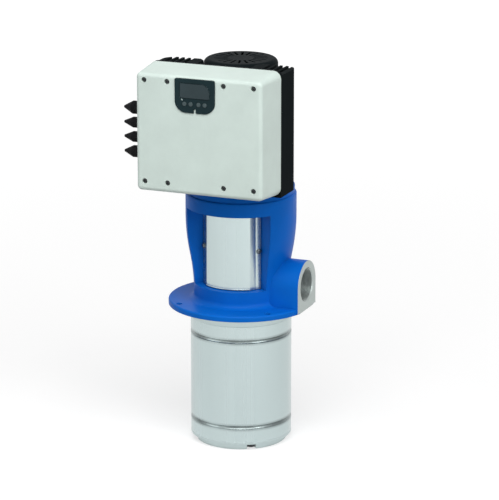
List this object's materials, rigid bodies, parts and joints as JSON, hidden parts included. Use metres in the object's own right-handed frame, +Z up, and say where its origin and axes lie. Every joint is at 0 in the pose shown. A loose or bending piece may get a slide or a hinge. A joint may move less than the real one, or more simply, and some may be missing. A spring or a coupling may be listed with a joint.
{
  "type": "vertical multistage immersible pump",
  "caption": "Vertical multistage pump that hangs in a tank by a round flange, with a side discharge port, a motor on a windowed lantern and a motor-mounted speed drive.",
  "frame": {"origin": "centre of the mounting flange's underside, on the shaft's axis", "axes": "+Z up the shaft, +X out of the discharge port, -Y out of the drive's front with its keypad"},
  "size_m": [0.267, 0.3128, 0.6795],
  "materials": {
    "blue_paint": "semi-gloss enamel over cast iron",
    "stainless_sleeve": "smooth rolled stainless sheet",
    "stainless_castings": "machined cast stainless steel",
    "stainless_sheet": "pressed stainless sheet",
    "stainless_rotating": "machined and pressed stainless steel",
    "steel_fasteners": "zinc-plated steel",
    "seal_cover_steel": "turned stainless steel",
    "coupling_iron": "cast iron with machined bores",
    "motor_black": "satin black enamel",
    "cowl_black": "satin black enamel on pressed sheet",
    "sink_black": "matte black powder coat on cast aluminium",
    "cover_grey": "pale grey powder coat",
    "keypad_teal": "moulded plastic, fine texture",
    "display_glass": "smoked clear plastic",
    "button_grey": "moulded silicone rubber",
    "gland_black": "moulded polyamide",
    "black_rubber": "moulded rubber",
    "seal_carbide": "lapped ceramic",
    "bush_carbide": "ground ceramic",
    "bearing_steel": "ground bearing steel",
    "motor_shaft_steel": "turned carbon steel",
    "lamination_steel": "stacked lamination sheet",
    "copper_winding": "varnished copper wire",
    "fan_plastic": "moulded polyamide",
    "board_green": "coated circuit board"
  },
  "bodies": {
    "pump_frame": {"bearing_bushes": "bush_carbide", "circuit_board": "board_green", "coupling_guard_front": "stainless_sheet", "coupling_guard_rear": "stainless_sheet", "cover_screws": "steel_fasteners", "cowl_screws": "steel_fasteners", "diffusers": "stainless_sheet", "display_window": "display_glass", "drive_cover": "cover_grey", "drive_end_bearing": "bearing_steel", "drive_gasket": "black_rubber", "drive_screws": "steel_fasteners", "fan_cowl": "cowl_black", "fan_end_bearing": "bearing_steel", "fan_end_shield": "motor_black", "gland_bodies": "gland_black", "gland_caps": "gland_black", "guard_screws": "steel_fasteners", "heat_sink": "sink_black", "keypad_panel": "keypad_teal", "motor_flange_bolts": "steel_fasteners", "motor_flange_shield": "motor_black", "outer_sleeve": "stainless_sleeve", "pump_head": "blue_paint", "seal_cover": "seal_cover_steel", "seal_cover_screws": "steel_fasteners", "seal_seat": "seal_carbide", "sleeve_o_rings": "black_rubber", "stage_casing_1": "stainless_sheet", "stage_casing_2": "stainless_sheet", "stage_casing_3": "stainless_sheet", "stage_casing_4": "stainless_sheet", "stator_core": "lamination_steel", "stator_housing": "motor_black", "stator_windings": "copper_winding", "suction_casing": "stainless_castings", "suction_strainer": "stainless_sheet", "tie_bolt_nuts": "steel_fasteners", "tie_bolts": "steel_fasteners", "upper_ring": "stainless_castings", "vent_plug": "steel_fasteners"},
    "rotor": {"pump_shaft": "stainless_rotating", "impeller_1": "stainless_rotating", "impeller_2": "stainless_rotating", "impeller_3": "stainless_rotating", "impeller_4": "stainless_rotating", "shaft_spacers": "stainless_rotating", "shaft_nut": "steel_fasteners", "seal_bellows": "black_rubber", "seal_ring": "seal_carbide", "coupling_half_front": "coupling_iron", "coupling_half_rear": "coupling_iron", "coupling_screws": "steel_fasteners", "motor_shaft": "motor_shaft_steel", "rotor_core": "lamination_steel", "fan": "fan_plastic"},
    "button_1": {"keypad_button_1": "button_grey"},
    "button_2": {"keypad_button_2": "button_grey"},
    "button_3": {"keypad_button_3": "button_grey"},
    "button_4": {"keypad_button_4": "button_grey"}
  },
  "joints": [
    {"name": "rotor_spin", "type": "hinge", "parent": "pump_frame", "child": "rotor", "pos_m": [0, 0, 0], "axis": [0, 0, 1], "continuous": true},
    {"name": "button_1_press", "type": "slide", "parent": "pump_frame", "child": "button_1", "axis": [0, 1, 0], "range_m": [0, 0.0008], "stiffness_N_per_m": 300, "springref_m": -0.0002},
    {"name": "button_2_press", "type": "slide", "parent": "pump_frame", "child": "button_2", "axis": [0, 1, 0], "range_m": [0, 0.0008], "stiffness_N_per_m": 300, "springref_m": -0.0002},
    {"name": "button_3_press", "type": "slide", "parent": "pump_frame", "child": "button_3", "axis": [0, 1, 0], "range_m": [0, 0.0008], "stiffness_N_per_m": 300, "springref_m": -0.0002},
    {"name": "button_4_press", "type": "slide", "parent": "pump_frame", "child": "button_4", "axis": [0, 1, 0], "range_m": [0, 0.0008], "stiffness_N_per_m": 300, "springref_m": -0.0002}
  ]
}
